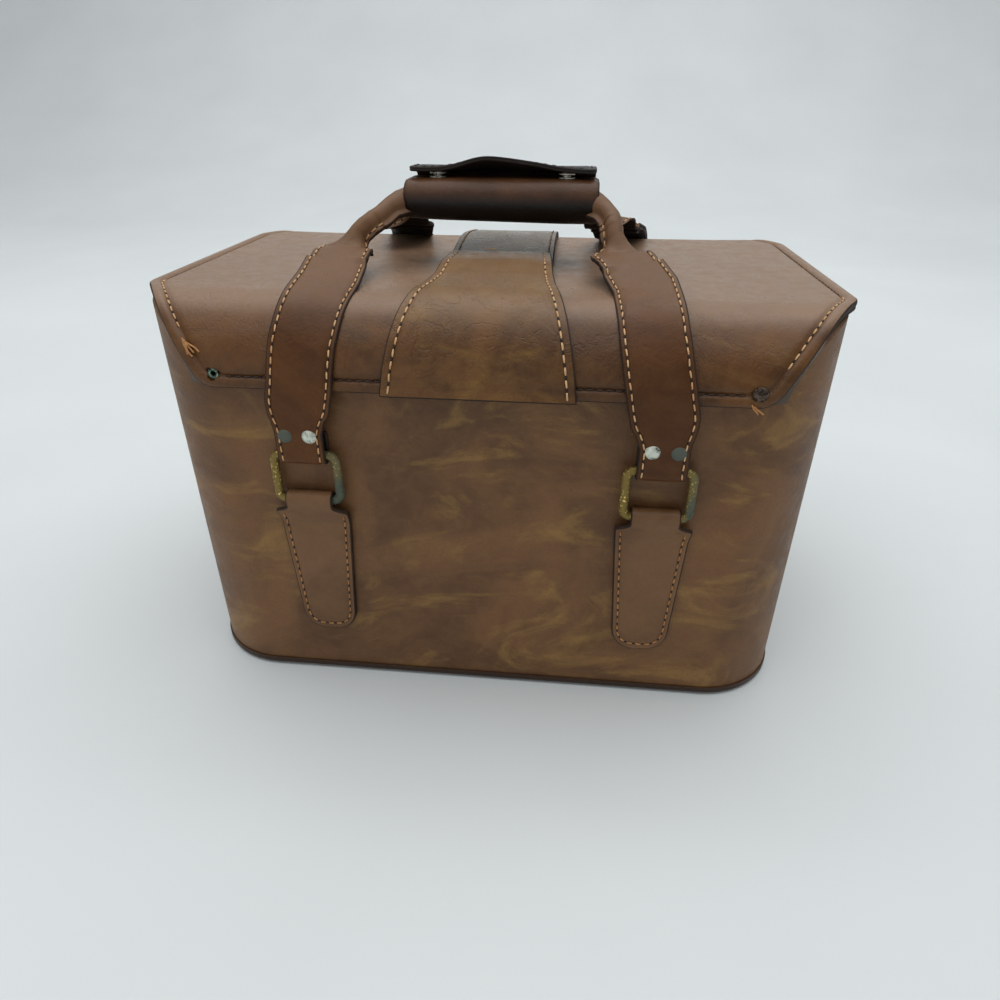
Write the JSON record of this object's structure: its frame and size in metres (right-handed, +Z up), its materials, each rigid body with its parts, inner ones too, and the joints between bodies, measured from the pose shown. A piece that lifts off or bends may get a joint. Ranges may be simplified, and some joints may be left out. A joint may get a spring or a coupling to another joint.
{
  "type": "camera case",
  "caption": "Hard camera case with a rolled hinged lid, twin ring-hung handles under a snap grip, dividers inside and a tuck lock.",
  "frame": {"origin": "middle of the bounding box at the underside the case stands on", "axes": "+X to the right along the long side, +Y away from the hinge side towards the lock side, +Z up"},
  "size_m": [0.3308, 0.2326, 0.2588],
  "materials": {
    "leather_body": "leatherette, semi-gloss, mottled",
    "leather_lid": "leatherette, semi-gloss",
    "leather_strap": "leather, semi-gloss, stitched",
    "leather_inner": "split leather, matt",
    "leather_flap": "dark leather, satin",
    "brass": "aged brass, tarnished",
    "rivet_metal": "nickel plate, spotted with green",
    "board": "fibreboard, matt",
    "base_dark": "fibreboard painted dark, matt",
    "lining": "short-pile velour",
    "cord": "jute rope",
    "spring_steel": "spring steel"
  },
  "bodies": {
    "case": {"body_board": "board", "body_cover": "leather_body", "body_lining": "lining", "base_board": "base_dark", "base_pad": "lining", "divider_left": "lining", "divider_right": "lining", "hinge_strip": "leather_inner", "near_chape_left": "leather_strap", "near_chape_right": "leather_strap", "far_chape_left": "leather_strap", "far_chape_right": "leather_strap", "lock_case": "brass", "lock_spring": "spring_steel"},
    "lid": {"lid_board": "board", "lid_cover": "leather_lid", "lid_lining": "lining", "bell_band": "leather_lid", "closure_strap": "leather_strap", "closure_rivets": "rivet_metal", "lock_tongue": "brass", "corner_rivet_left": "rivet_metal", "corner_rivet_right": "rivet_metal"},
    "near_rings": {"near_ring_left": "brass", "near_ring_right": "brass"},
    "near_handle": {"near_handle_leather": "leather_strap", "near_strap_linings": "leather_inner", "near_handle_core": "cord", "near_strap_rivets": "rivet_metal", "near_grip_wrap": "leather_strap", "near_snap_studs": "rivet_metal"},
    "far_rings": {"far_ring_left": "brass", "far_ring_right": "brass"},
    "far_handle": {"far_handle_leather": "leather_strap", "far_strap_linings": "leather_inner", "far_handle_core": "cord", "far_strap_rivets": "rivet_metal", "far_grip_wrap": "leather_strap"},
    "grip_flap": {"grip_flap": "leather_flap", "flap_snap_caps": "rivet_metal"},
    "lock_slide": {"lock_slide": "brass"}
  },
  "joints": [
    {"name": "lid_open", "type": "hinge", "parent": "case", "child": "lid", "pos_m": [0, -0.10735, 0.169], "axis": [1, 0, 0], "range_deg": [0, 90]},
    {"name": "near_ring_swing", "type": "hinge", "parent": "case", "child": "near_rings", "pos_m": [0, -0.1106, 0.114], "axis": [1, 0, 0], "range_deg": [0, 126]},
    {"name": "near_handle_swing", "type": "hinge", "parent": "near_rings", "child": "near_handle", "pos_m": [0, -0.1106, 0.138], "axis": [1, 0, 0], "range_deg": [0, 36]},
    {"name": "far_ring_swing", "type": "hinge", "parent": "case", "child": "far_rings", "pos_m": [0, 0.1106, 0.114], "axis": [-1, 0, 0], "range_deg": [0, 126]},
    {"name": "far_handle_swing", "type": "hinge", "parent": "far_rings", "child": "far_handle", "pos_m": [0, 0.1106, 0.138], "axis": [-1, 0, 0], "range_deg": [0, 36], "deforming": ["far_handle_leather", "far_strap_linings"]},
    {"name": "grip_flap_open", "type": "hinge", "parent": "far_handle", "child": "grip_flap", "pos_m": [0, 0.01837, 0.24268], "axis": [-1, 0, 0], "range_deg": [0, 95]},
    {"name": "lock_slide_press", "type": "slide", "parent": "case", "child": "lock_slide", "axis": [1, 0, 0], "range_m": [0, 0.004], "stiffness_N_per_m": 400, "deforming": ["lock_spring"]}
  ],
  "couplings": [
    {"joint": "near_ring_swing", "follows": "lid_open", "ratio": 1.4},
    {"joint": "near_handle_swing", "follows": "lid_open", "ratio": 0.4},
    {"joint": "far_ring_swing", "follows": "lid_open", "ratio": 1.4},
    {"joint": "far_handle_swing", "follows": "lid_open", "ratio": 0.4}
  ]
}
